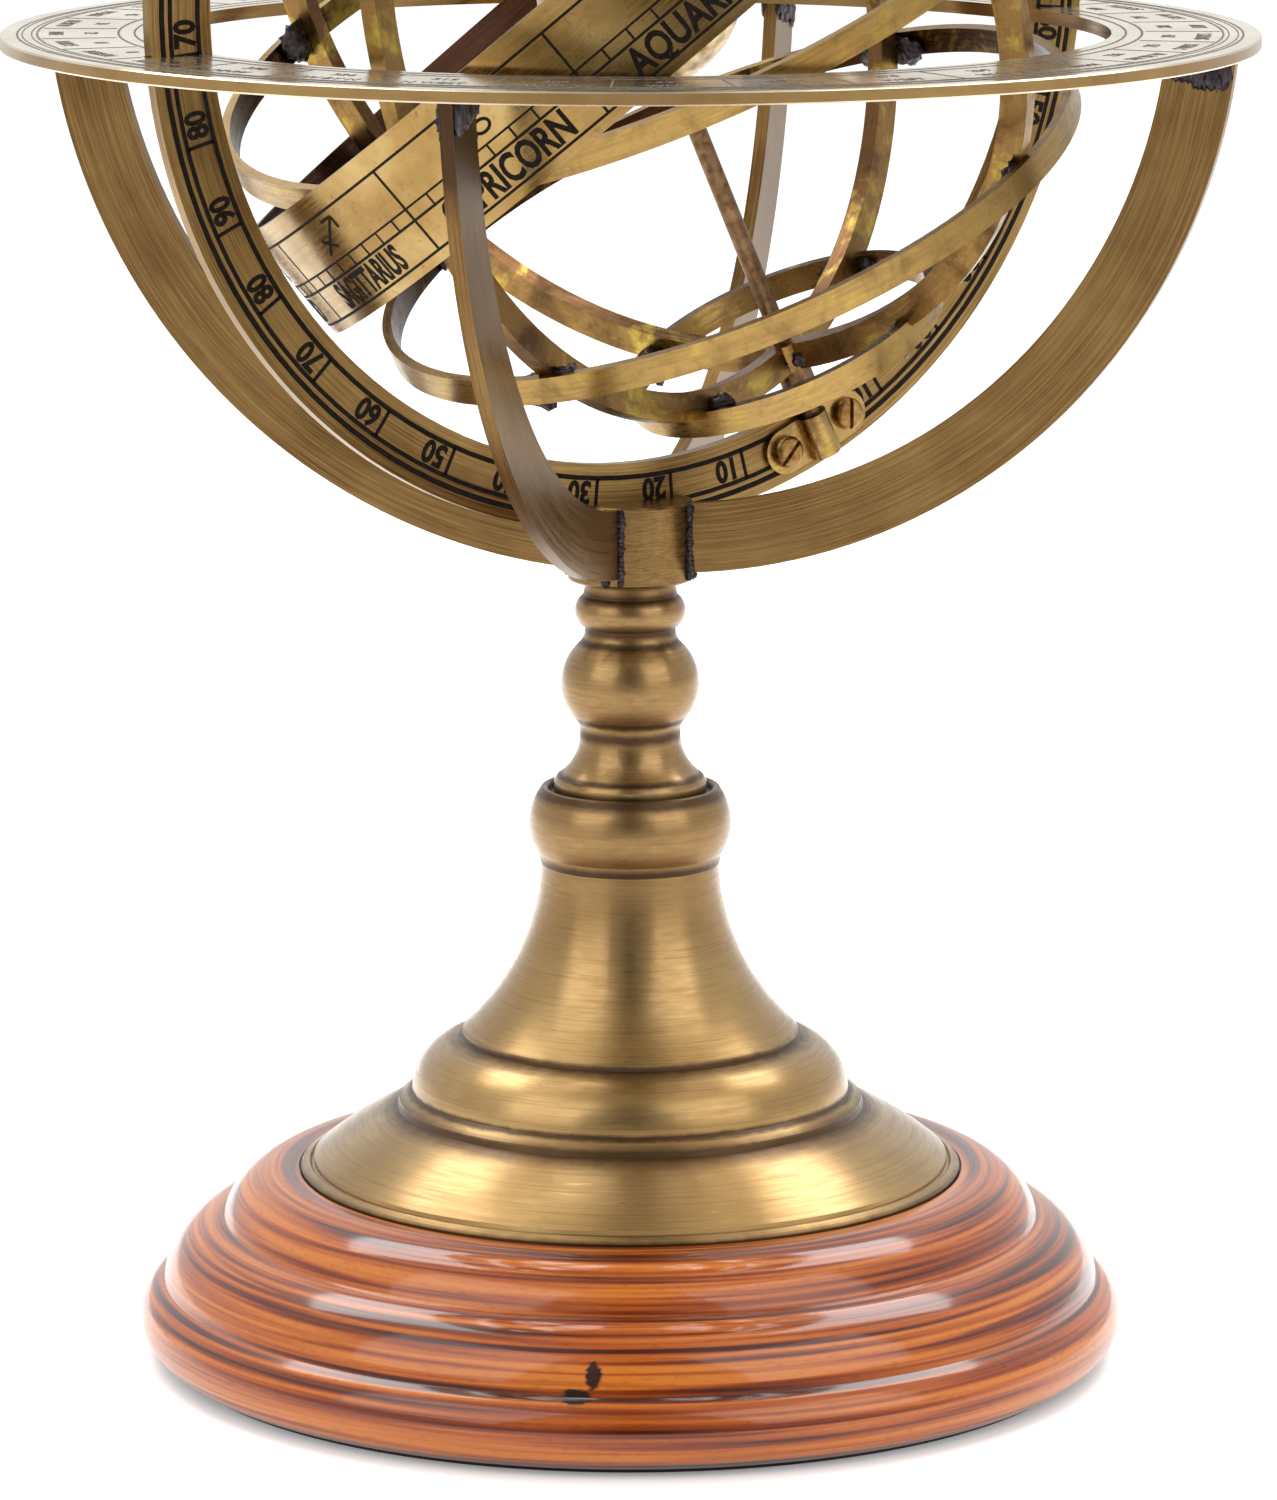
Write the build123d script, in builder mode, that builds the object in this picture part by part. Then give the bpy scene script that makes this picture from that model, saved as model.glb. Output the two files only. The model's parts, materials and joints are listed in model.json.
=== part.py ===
"""Armillary sphere on a turned stand.

A wooden base carries a brass bell foot, a collar and a baluster column.
Four curved arms rise from the hub on the column to the flat horizon ring.
The meridian ring stands in slots in the hub and in the horizon ring, so it
slides round in its own plane.  It carries the polar axis rod in two straps,
and the celestial cage turns freely with that rod.

Millimetres, +Z up.  The origin is the centre of the underside, and the
meridian ring lies in the XZ plane.
"""
from build123d import *
from math import cos, radians, sin
import os

# ---- driving dimensions ---------------------------------------------------

# wooden base and its felt
felt_radius = 85.5
felt_thickness = 1.0
base_foot_radius = 87.0
base_top = 34.6
recess_radius = 61.8
recess_floor = 32.5
nut_pocket_radius = 10.5
nut_pocket_top = 10.0

# brass foot, collar and column
bell_rim_radius = 61.4
bell_top = 92.0
bell_wall = 2.2
collar_radius = 18.7
collar_top = 106.4
column_foot_radius = 14.1
column_foot = 105.0
tie_radius = 2.5
tie_clearance = 0.25

# hub and arms
hub_radius = 11.5
hub_foot = 145.0
hub_top = 159.8
arm_count = 4
arm_turn = 48.0            # first arm's angle round from the meridian plane
arm_width = 12.7
arm_thickness = 2.5
arm_centre_offset = 4.0
arm_centre_height = 255.0
arm_outer_radius = 108.4

# horizon ring
horizon_outer = 114.0
horizon_inner = 87.0
horizon_top = 245.8
horizon_thickness = 2.4

# meridian ring
meridian_outer = 99.2
meridian_inner = 87.2
meridian_thickness = 2.5
meridian_height = 253.9
slide_clearance = 0.1

# polar axis
polar_tilt = 25.0          # from the vertical
rod_radius = 1.75
rod_clearance = 0.05
rod_half_length = 97.0
earth_radius = 18.7

# pole straps
strap_radius = 93.2        # from the sphere's centre to the strap's middle
strap_width = 8.5
strap_thickness = 1.0
screw_spacing = 14.6
screw_radius = 1.45
screw_head_radius = 3.0
screw_head_height = 1.9
screw_slot_width = 0.8
screw_slot_depth = 0.8

# celestial cage
cage_turn = 204.0          # winter solstice, round from the meridian's front
colure_outer = 79.0
colure_inner = 73.7
colure_thickness = 3.2
pole_boss_radius = 3.4
hoop_width = 5.0
hoop_thickness = 1.8
equator_radius = 80.6
tropic_radius = 67.4
tropic_height = 46.0
polar_circle_radius = 30.6
polar_circle_height = 74.0
ecliptic_tilt = 23.5
zodiac_radius = 82.4
zodiac_thickness = 1.6
zodiac_width = 23.5
spacer_radius = 3.2
spacer_gap = 0.4
joint_peg_radius = 1.5

# ---- places worked out from them ------------------------------------------

horizon_foot = horizon_top - horizon_thickness
meridian_front = meridian_thickness / 2
rod_offset = meridian_front + rod_radius + rod_clearance

north = Vector(-sin(radians(polar_tilt)), 0, cos(radians(polar_tilt)))
across = Vector(cos(radians(polar_tilt)), 0, sin(radians(polar_tilt)))
front = Vector(0, -1, 0)
solstice = front * cos(radians(cage_turn)) + across * sin(radians(cage_turn))

meridian_centre = Vector(0, 0, meridian_height)
cage_centre = meridian_centre + front * rod_offset
polar_axis = Axis(cage_centre, north)

meridian_plane = Plane(meridian_centre, x_dir=across, z_dir=front)
celestial = Plane(cage_centre, x_dir=solstice, z_dir=north)
ecliptic_pole = north * cos(radians(ecliptic_tilt)) + solstice * sin(radians(ecliptic_tilt))
ecliptic = Plane(cage_centre, x_dir=ecliptic_pole.cross(celestial.y_dir) * -1, z_dir=ecliptic_pole)
solstitial_plane = Plane(cage_centre, x_dir=solstice, z_dir=celestial.y_dir)
equinoctial_plane = Plane(cage_centre, x_dir=celestial.y_dir, z_dir=solstice)

os.makedirs("parts", exist_ok=True)


def save(part, name):
    """Label a finished piece and write it as its own STEP file."""
    part.label = name
    export_step(part, f"parts/{name}.step")


def flat_ring(plane, outer, inner, thickness):
    """A flat ring centred on a plane, half its thickness to each side."""
    with BuildPart() as ring:
        with BuildSketch(plane):
            Circle(outer)
            Circle(inner, mode=Mode.SUBTRACT)
        extrude(amount=thickness / 2, both=True)
    return ring.part


# ---- the stand ------------------------------------------------------------

with BuildPart() as felt_pad:
    with BuildSketch():
        Circle(felt_radius)
    extrude(amount=felt_thickness)
save(felt_pad.part, "felt_pad")

# three torus mouldings, one above the other, and a rounded lip at the recess
lower_groove = (87.1, 14.2)
upper_groove = (75.9, 26.0)
lip_edge = (64.2, base_top)
with BuildPart() as wooden_base:
    with BuildSketch(Plane.XZ):
        with BuildLine():
            foot = (base_foot_radius, felt_thickness)
            Polyline((0, felt_thickness), foot)
            ThreePointArc(foot, (91.5, 6.6), lower_groove)
            ThreePointArc(lower_groove, (83.6, 21.6), upper_groove)
            ThreePointArc(upper_groove, (71.4, 32.2), lip_edge)
            Polyline(lip_edge, (recess_radius, base_top), (recess_radius, recess_floor),
                     (0, recess_floor), (0, felt_thickness))
        make_face()
    revolve(axis=Axis.Z)
    with BuildSketch(Plane.XY.offset(felt_thickness)):
        Circle(tie_radius + tie_clearance)
    extrude(amount=base_top, mode=Mode.SUBTRACT)
    with BuildSketch(Plane.XY.offset(felt_thickness)):
        Circle(nut_pocket_radius)
    extrude(amount=nut_pocket_top - felt_thickness, mode=Mode.SUBTRACT)
save(wooden_base.part, "wooden_base")

# the bell is a spun shell: rim with a turned line, cone, step, convex shoulder,
# groove and trumpet
rim_line = [(60.9, 35.5), (59.8, 35.9), (59.5, 35.5), (59.0, 35.8)]
cone_edge = (58.9, 36.8)
step_foot = (43.4, 46.2)
step_top = (40.6, 49.4)
shoulder_top = (32.2, 59.0)
trumpet_foot = (31.2, 60.6)
trumpet_top = (16.4, bell_top)
with BuildPart() as bell_foot:
    with BuildSketch(Plane.XZ):
        with BuildLine():
            Polyline((bell_rim_radius, recess_floor), (bell_rim_radius, 35.0), *rim_line, cone_edge)
            ThreePointArc(cone_edge, (52.4, 41.5), step_foot)
            Polyline(step_foot, (43.0, 47.6), step_top)
            ThreePointArc(step_top, (38.3, 55.4), shoulder_top)
            Polyline(shoulder_top, (31.2, 59.4), trumpet_foot)
            ThreePointArc(trumpet_foot, (20.1, 76.0), trumpet_top)
            Polyline(trumpet_top, (tie_radius + tie_clearance, bell_top),
                     (tie_radius + tie_clearance, bell_top - 2 * bell_wall),
                     (14.0, bell_top - 2 * bell_wall), (17.6, 75.0), (28.8, 58.0),
                     (36.0, 51.0), (40.4, 44.4), (58.0, 33.8), (58.6, recess_floor),
                     (bell_rim_radius, recess_floor))
        make_face()
    revolve(axis=Axis.Z)
save(bell_foot.part, "bell_foot")

with BuildPart() as collar:
    with BuildSketch(Plane.XZ):
        with BuildLine():
            Polyline((tie_radius + tie_clearance, bell_top), (16.5, bell_top), (17.1, 94.0))
            ThreePointArc((17.1, 94.0), (collar_radius, 99.6), (16.7, 105.8))
            ThreePointArc((16.7, 105.8), (16.0, collar_top), (15.2, 105.9))
            Polyline((15.2, 105.9), (15.0, column_foot), (tie_radius + tie_clearance, column_foot),
                     (tie_radius + tie_clearance, bell_top))
        make_face()
    revolve(axis=Axis.Z)
save(collar.part, "collar")

# baluster: foot disc, cove, lower neck, ball, upper neck, bead and cap
disc_edge = (13.5, 108.4)
lower_neck = (9.3, 116.4)
ball_foot = (10.3, 119.2)
ball_top = (9.2, 133.4)
upper_neck = (8.4, 136.2)
bead_top = (8.7, 142.2)
column_top = (8.2, hub_foot)
with BuildPart() as baluster_column:
    with BuildSketch(Plane.XZ):
        with BuildLine():
            Polyline((tie_radius + tie_clearance, column_foot), (column_foot_radius, column_foot))
            Polyline((column_foot_radius, column_foot), (column_foot_radius, 107.4), disc_edge)
            ThreePointArc(disc_edge, (10.4, 111.8), lower_neck)
            ThreePointArc(lower_neck, (9.5, 118.0), ball_foot)
            ThreePointArc(ball_foot, (12.7, 126.4), ball_top)
            ThreePointArc(ball_top, (8.5, 134.8), upper_neck)
            ThreePointArc(upper_neck, (10.2, 139.3), bead_top)
            Polyline(bead_top, column_top, (tie_radius + tie_clearance, hub_foot),
                     (tie_radius + tie_clearance, column_foot))
        make_face()
    revolve(axis=Axis.Z)
save(baluster_column.part, "baluster_column")

tie_foot = 3.0
tie_top = 152.0
washer_radius = 8.0
washer_thickness = 1.6
nut_flats = 8.0
nut_height = 4.0
tie_bore = tie_radius + 0.05
with BuildPart() as tie_rod:
    with BuildSketch(Plane.XY.offset(tie_foot)):
        Circle(tie_radius)
    extrude(amount=tie_top - tie_foot)
    chamfer(tie_rod.edges().filter_by(GeomType.CIRCLE), 0.5)
save(tie_rod.part, "tie_rod")

washer_foot = nut_pocket_top - washer_thickness
with BuildPart() as tie_washer:
    with BuildSketch(Plane.XY.offset(washer_foot)):
        Circle(washer_radius)
        Circle(tie_bore, mode=Mode.SUBTRACT)
    extrude(amount=washer_thickness)
save(tie_washer.part, "tie_washer")

with BuildPart() as tie_nut:
    with BuildSketch(Plane.XY.offset(washer_foot - nut_height)):
        RegularPolygon(nut_flats / 2, 6, major_radius=False)
        Circle(tie_bore, mode=Mode.SUBTRACT)
    extrude(amount=nut_height)
save(tie_nut.part, "tie_nut")

slot_width = meridian_thickness + 2 * slide_clearance
slot_floor = meridian_height - meridian_outer - 0.3
with BuildPart() as arm_hub:
    with BuildSketch(Plane.XY.offset(hub_foot)):
        Circle(hub_radius)
    extrude(amount=hub_top - hub_foot)
    chamfer(arm_hub.edges().filter_by(GeomType.CIRCLE), 0.4)
    with BuildSketch(Plane.XY.offset(slot_floor)):
        Rectangle(3 * hub_radius, slot_width)
    extrude(amount=hub_top - slot_floor + 1, mode=Mode.SUBTRACT)
    with BuildSketch(Plane.XY.offset(hub_foot)):
        Circle(tie_bore)
    extrude(amount=tie_top + 0.5 - hub_foot, mode=Mode.SUBTRACT)
save(arm_hub.part, "arm_hub")


def arm(turn):
    """One curved arm, from the hub's side up to the underside of the ring."""
    bearing = Vector(cos(radians(turn)), sin(radians(turn)), 0)
    plane = Plane((0, 0, 0), x_dir=bearing, z_dir=bearing.cross(Vector(0, 0, 1)))
    with BuildPart() as bar:
        with BuildSketch(plane):
            with Locations((arm_centre_offset, arm_centre_height)):
                Circle(arm_outer_radius)
                Circle(arm_outer_radius - arm_width, mode=Mode.SUBTRACT)
            with Locations((horizon_outer / 2, horizon_foot / 2)):
                Rectangle(horizon_outer, horizon_foot, mode=Mode.INTERSECT)
        extrude(amount=arm_thickness / 2, both=True)
        with BuildSketch(Plane.XY.offset(hub_foot - 5)):
            Circle(hub_radius)
        extrude(amount=hub_top - hub_foot + 10, mode=Mode.SUBTRACT)
    return bar.part


arm_names = ["arm_right", "arm_back", "arm_left", "arm_front"]
for index, arm_name in enumerate(arm_names):
    save(arm(index * 360 / arm_count - arm_turn), arm_name)

slot_end = meridian_outer + 0.3
with BuildPart() as horizon_ring:
    with BuildSketch(Plane.XY.offset(horizon_foot)):
        Circle(horizon_outer)
        Circle(horizon_inner, mode=Mode.SUBTRACT)
        Rectangle(2 * slot_end, slot_width, mode=Mode.SUBTRACT)
    extrude(amount=horizon_thickness)
    chamfer(horizon_ring.edges().filter_by(GeomType.CIRCLE).group_by(SortBy.RADIUS)[-1], 0.3)
save(horizon_ring.part, "horizon_ring")

# ---- the meridian ring and its pole straps --------------------------------

screw_holes = [(side * screw_spacing / 2, pole * strap_radius)
               for pole in (-1, 1) for side in (-1, 1)]
with BuildPart() as meridian_ring:
    with BuildSketch(meridian_plane):
        Circle(meridian_outer)
        Circle(meridian_inner, mode=Mode.SUBTRACT)
        with Locations(*screw_holes):
            Circle(screw_radius, mode=Mode.SUBTRACT)
    extrude(amount=meridian_thickness / 2, both=True)
save(meridian_ring.part, "meridian_ring")


def pole_strap(pole):
    """A strap with two round ears and a half-round channel over the rod."""
    face = meridian_plane.offset(meridian_front)
    inner = rod_radius + rod_clearance
    outer = inner + strap_thickness
    middle = face.from_local_coords(Vector(0, pole * (strap_radius - strap_width / 2), 0))
    end = Plane(middle, x_dir=across, z_dir=meridian_plane.y_dir * pole)
    side = 1 if (end.y_dir - front).length < 1 else -1
    with BuildPart() as strap:
        with BuildSketch(face):
            with Locations((0, pole * strap_radius)):
                SlotCenterToCenter(screw_spacing, strap_width)
        extrude(amount=strap_thickness)
        with BuildSketch(end):
            with Locations((0, side * inner)):
                Circle(outer)
            with Locations((0, side * inner / 2)):
                Rectangle(2 * outer, inner)
        extrude(amount=strap_width)
        with BuildSketch(end):
            with Locations((0, side * inner)):
                Circle(inner)
            with Locations((0, 0)):
                Rectangle(2 * inner, 2 * inner)
        extrude(amount=strap_width, mode=Mode.SUBTRACT)
        with BuildSketch(meridian_plane):
            Rectangle(3 * strap_radius, 3 * strap_radius)
        extrude(amount=meridian_front, mode=Mode.SUBTRACT)
        with BuildSketch(face):
            with Locations(*screw_holes):
                Circle(screw_radius + 0.1)
        extrude(amount=strap_thickness, mode=Mode.SUBTRACT)
    return strap.part


def strap_screws(pole):
    """Two slotted round-head screws that hold one strap to the ring."""
    seat = meridian_plane.offset(meridian_front + strap_thickness)
    places = [(side * screw_spacing / 2, pole * strap_radius) for side in (-1, 1)]
    with BuildPart() as screws:
        with BuildSketch(seat):
            with Locations(*places):
                Circle(screw_radius)
        extrude(amount=-(strap_thickness + meridian_thickness))
        with BuildSketch(seat):
            with Locations(*places):
                Circle(screw_head_radius)
        extrude(amount=screw_head_height)
        crown = screws.edges().filter_by(GeomType.CIRCLE).sort_by(Axis(meridian_centre, front))
        fillet(crown[-len(places):], screw_head_height * 0.6)
        with BuildSketch(seat.offset(screw_head_height - screw_slot_depth)):
            for number, place in enumerate(places):
                with Locations(Location(place, 25 + 40 * number)):
                    Rectangle(3 * screw_head_radius, screw_slot_width)
        extrude(amount=screw_slot_depth, mode=Mode.SUBTRACT)
    return screws.part


for pole, pole_name in ((-1, "lower"), (1, "upper")):
    save(pole_strap(pole), f"{pole_name}_pole_strap")
    save(strap_screws(pole), f"{pole_name}_strap_screws")

# ---- the celestial cage ---------------------------------------------------

with BuildPart() as polar_axis_rod:
    with BuildSketch(celestial.offset(-rod_half_length)):
        Circle(rod_radius)
    extrude(amount=2 * rod_half_length)
save(polar_axis_rod.part, "polar_axis_rod")

with BuildPart() as earth_ball:
    with BuildSketch(solstitial_plane):
        Circle(earth_radius)
        with Locations((-earth_radius, 0)):
            Rectangle(2 * earth_radius, 2 * earth_radius, mode=Mode.SUBTRACT)
        Rectangle(2 * rod_radius, 3 * earth_radius, mode=Mode.SUBTRACT)
    revolve(axis=polar_axis)
save(earth_ball.part, "earth_ball")

# each hoop is a thin band round the polar axis: radius and height of its middle
hoops = {
    "arctic_circle": (polar_circle_radius, polar_circle_height),
    "tropic_of_cancer": (tropic_radius, tropic_height),
    "celestial_equator": (equator_radius, 0),
    "tropic_of_capricorn": (tropic_radius, -tropic_height),
    "antarctic_circle": (polar_circle_radius, -polar_circle_height),
}
for hoop_name, (radius, height) in hoops.items():
    save(flat_ring(celestial.offset(height), radius, radius - hoop_thickness, hoop_width), hoop_name)


def colure(plane, own_half, other_half):
    """One of the two great rings through the poles, with its notches.

    At each pole the rings are halved into each other.  Each keeps a round
    boss, drilled for the rod, in its own half of the depth.  Both are let in
    for the hoops.  A half is its lowest and highest distance from the centre.
    """
    with BuildPart() as ring:
        with BuildSketch(plane):
            Circle(colure_outer)
            Circle(colure_inner, mode=Mode.SUBTRACT)
        extrude(amount=colure_thickness / 2, both=True)
        for pole in (-1, 1):
            for (low, high), mode in ((other_half, Mode.SUBTRACT), (own_half, Mode.ADD)):
                with BuildSketch(celestial.offset(pole * low)):
                    Circle(pole_boss_radius)
                extrude(amount=pole * (high - low), mode=mode)
        with BuildSketch(celestial.offset(-rod_half_length)):
            Circle(rod_radius)
        extrude(amount=2 * rod_half_length, mode=Mode.SUBTRACT)
        for radius, height in hoops.values():
            with BuildSketch(celestial.offset(height)):
                Circle(radius)
                Circle(radius - hoop_thickness, mode=Mode.SUBTRACT)
            extrude(amount=hoop_width / 2, both=True, mode=Mode.SUBTRACT)
    return ring.part


lap = (colure_outer + colure_inner) / 2
inner_half = (colure_inner, lap)
outer_half = (lap, colure_outer)
save(colure(solstitial_plane, inner_half, (lap, colure_outer + 1)), "solstitial_colure")
save(colure(equinoctial_plane, outer_half, (colure_inner - 1, lap)), "equinoctial_colure")

zodiac_band = flat_ring(ecliptic, zodiac_radius, zodiac_radius - zodiac_thickness, zodiac_width)
save(zodiac_band, "zodiac_band")

# the band rests on the equator at the equinoxes, and at the solstices two short
# pegs of solder tie it to the solstitial colure
with BuildPart() as band_joints:
    for towards in (ecliptic.x_dir, ecliptic.x_dir * -1):
        start = Plane(cage_centre + towards * (colure_outer - 0.6), z_dir=towards)
        with BuildSketch(start):
            Circle(joint_peg_radius)
        extrude(amount=zodiac_radius - zodiac_thickness - colure_outer + 0.5)
    with BuildSketch(solstitial_plane):
        Circle(colure_outer)
    extrude(amount=colure_thickness / 2, both=True, mode=Mode.SUBTRACT)
save(band_joints.part, "band_joints")

# sleeves on the rod keep the cage central between the pole straps
for pole, pole_name in ((-1, "lower"), (1, "upper")):
    start = colure_outer + 0.05
    with BuildPart() as spacer:
        with BuildSketch(celestial.offset(pole * start)):
            Circle(spacer_radius)
            Circle(rod_radius, mode=Mode.SUBTRACT)
        extrude(amount=pole * (meridian_inner - spacer_gap - start))
    save(spacer.part, f"{pole_name}_pole_spacer")
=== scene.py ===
"""Looks for the armillary sphere: engraving, solder, materials, light and camera.

Metres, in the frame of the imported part: +Z up, the meridian ring in the XZ
plane with its engraved face towards -Y.
"""
import json
from math import asin, ceil, cos, degrees, radians, sin
import random

import bmesh
import bpy
from mathutils import Matrix, Vector, noise


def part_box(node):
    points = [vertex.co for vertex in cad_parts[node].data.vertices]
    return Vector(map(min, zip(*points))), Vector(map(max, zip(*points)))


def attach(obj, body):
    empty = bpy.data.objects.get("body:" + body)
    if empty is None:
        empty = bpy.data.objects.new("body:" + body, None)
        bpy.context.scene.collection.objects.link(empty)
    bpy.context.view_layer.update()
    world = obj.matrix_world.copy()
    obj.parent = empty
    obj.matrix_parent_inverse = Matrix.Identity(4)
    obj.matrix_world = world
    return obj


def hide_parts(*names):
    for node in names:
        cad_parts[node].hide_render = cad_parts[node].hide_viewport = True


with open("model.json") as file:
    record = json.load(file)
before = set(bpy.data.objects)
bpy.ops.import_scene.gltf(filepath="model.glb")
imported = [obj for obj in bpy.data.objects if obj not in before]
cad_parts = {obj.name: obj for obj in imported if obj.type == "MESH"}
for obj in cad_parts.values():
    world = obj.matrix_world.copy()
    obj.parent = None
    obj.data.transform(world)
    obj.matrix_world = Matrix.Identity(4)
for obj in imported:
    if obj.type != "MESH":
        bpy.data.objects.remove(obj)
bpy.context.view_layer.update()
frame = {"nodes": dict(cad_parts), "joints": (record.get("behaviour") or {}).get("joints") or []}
nodes = frame["nodes"]
joints = {joint["name"]: joint for joint in frame["joints"]}
random.seed(11)

mm = 0.001

# ---- places ----------------------------------------------------------------

arm_bearings = {"arm_right": -48, "arm_back": 42, "arm_left": 132, "arm_front": 222}  # degrees
arm_half_thickness = 1.25 * mm
arm_arc_centre = (4 * mm, 255 * mm)  # out from the stand's axis, and up
hub_radius = 11.5 * mm
arm_top_inner = 99.4 * mm
arm_top_outer = 111.4 * mm
horizon_slot_end = 99.5 * mm
horizon_slot_half_width = 1.7 * mm
meridian_face = 1.25 * mm
colure_outer = 79.0 * mm
colure_half_thickness = 1.6 * mm
zodiac_radius = 82.4 * mm
cage_turn = 204
ecliptic_tilt = 23.5
hoops = {  # outer radius and height above the cage's centre, in mm
    "arctic_circle": (30.6, 74),
    "tropic_of_cancer": (67.4, 46),
    "celestial_equator": (80.6, 0),
    "tropic_of_capricorn": (67.4, -46),
    "antarctic_circle": (30.6, -74),
}
hoop_thickness = 1.8 * mm

up = Vector((0, 0, 1))
front = Vector((0, -1, 0))
north = Vector(joints["sphere_spin"]["axis"]).normalized()
across = north.cross(front)
meridian_centre = Vector(joints["meridian_tilt"]["pos_m"])
cage_centre = Vector(joints["sphere_spin"]["pos_m"])
solstice = front * cos(radians(cage_turn)) + across * sin(radians(cage_turn))
equinox = north.cross(solstice)
ecliptic_pole = north * cos(radians(ecliptic_tilt)) + solstice * sin(radians(ecliptic_tilt))
horizon_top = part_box("horizon_ring")[1].z
horizon_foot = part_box("horizon_ring")[0].z
hub_low, hub_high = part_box("arm_hub")


def axes(origin, x_dir, z_dir):
    """The matrix of a local frame with this origin, x axis and z axis."""
    turned = Matrix((x_dir, z_dir.cross(x_dir), z_dir)).transposed().to_4x4()
    return Matrix.Translation(origin) @ turned


def arm_directions(bearing):
    """The outward and the sideways direction of the arm at a bearing."""
    outwards = Vector((cos(radians(bearing)), sin(radians(bearing)), 0))
    return outwards, outwards.cross(up)


def arm_axes(bearing):
    """A frame at the centre of an arm's arc, its z axis square to the arm's sides."""
    outwards, sideways = arm_directions(bearing)
    centre = outwards * arm_arc_centre[0] + up * arm_arc_centre[1]
    return axes(centre, outwards, sideways)


meridian_axes = axes(meridian_centre, across, front)
celestial_axes = axes(cage_centre, solstice, north)
ecliptic_axes = axes(cage_centre, equinox.cross(ecliptic_pole), ecliptic_pole)
horizon_axes = axes(Vector((0, 0, horizon_top)), Vector((1, 0, 0)), up)
stand_axes = axes(Vector((0, 0, 0)), Vector((1, 0, 0)), up)


# ---- materials ---------------------------------------------------------------

def rgb(red, green, blue):
    """A screen colour, 0 to 255, as the linear colour that shaders take."""
    return tuple((part / 255) ** 2.2 for part in (red, green, blue)) + (1,)


class Tree:
    """Shader nodes in the making. The methods that make a node return its socket."""

    def __init__(self, owner):
        owner.use_nodes = True
        self.nodes = owner.node_tree.nodes
        self.links = owner.node_tree.links

    def put(self, value, socket):
        """Link a socket, or set a number or colour."""
        if isinstance(value, bpy.types.NodeSocket):
            self.links.new(value, socket)
        else:
            socket.default_value = value

    def calc(self, operation, *values):
        node = self.nodes.new("ShaderNodeMath")
        node.operation = operation
        for value, socket in zip(values, node.inputs):
            self.put(value, socket)
        return node.outputs[0]

    def weighted(self, first, *others):
        """The weighted sum of (value, weight) pairs."""
        total = self.calc("MULTIPLY", *first)
        for pair in others:
            total = self.calc("ADD", total, self.calc("MULTIPLY", *pair))
        return total

    def vector_calc(self, operation, *values):
        node = self.nodes.new("ShaderNodeVectorMath")
        node.operation = operation
        for value, socket in zip(values, node.inputs):
            self.put(value, socket)
        return node.outputs["Value" if operation in ("LENGTH", "DOT_PRODUCT") else "Vector"]

    def split(self, vector):
        node = self.nodes.new("ShaderNodeSeparateXYZ")
        self.put(vector, node.inputs[0])
        return node.outputs

    def join(self, *values):
        node = self.nodes.new("ShaderNodeCombineXYZ")
        for value, socket in zip(values, node.inputs):
            self.put(value, socket)
        return node.outputs[0]

    def spread(self, value, low, high, to_low=0.0, to_high=1.0, interpolation="LINEAR"):
        """The value moved from the range low to high to the range to_low to to_high."""
        node = self.nodes.new("ShaderNodeMapRange")
        node.interpolation_type = interpolation
        for socket, number in zip(node.inputs, (value, low, high, to_low, to_high)):
            self.put(number, socket)
        return node.outputs[0]

    def ramp(self, value, *stops):
        """A colour ramp from (place, colour) stops."""
        node = self.nodes.new("ShaderNodeValToRGB")
        self.put(value, node.inputs[0])
        ends = node.color_ramp.elements
        for place, colour in stops[1:-1]:
            ends.new(place).color = colour
        ends[0].position, ends[0].color = stops[0]
        ends[-1].position, ends[-1].color = stops[-1]
        return node.outputs[0]

    def blend(self, amount, one, other):
        """Colour one where the amount is 0, the other where it is 1."""
        node = self.nodes.new("ShaderNodeMix")
        node.data_type = "RGBA"
        for value, socket in ((amount, node.inputs[0]), (one, node.inputs[6]),
                              (other, node.inputs[7])):
            self.put(value, socket)
        return node.outputs[2]


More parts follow.
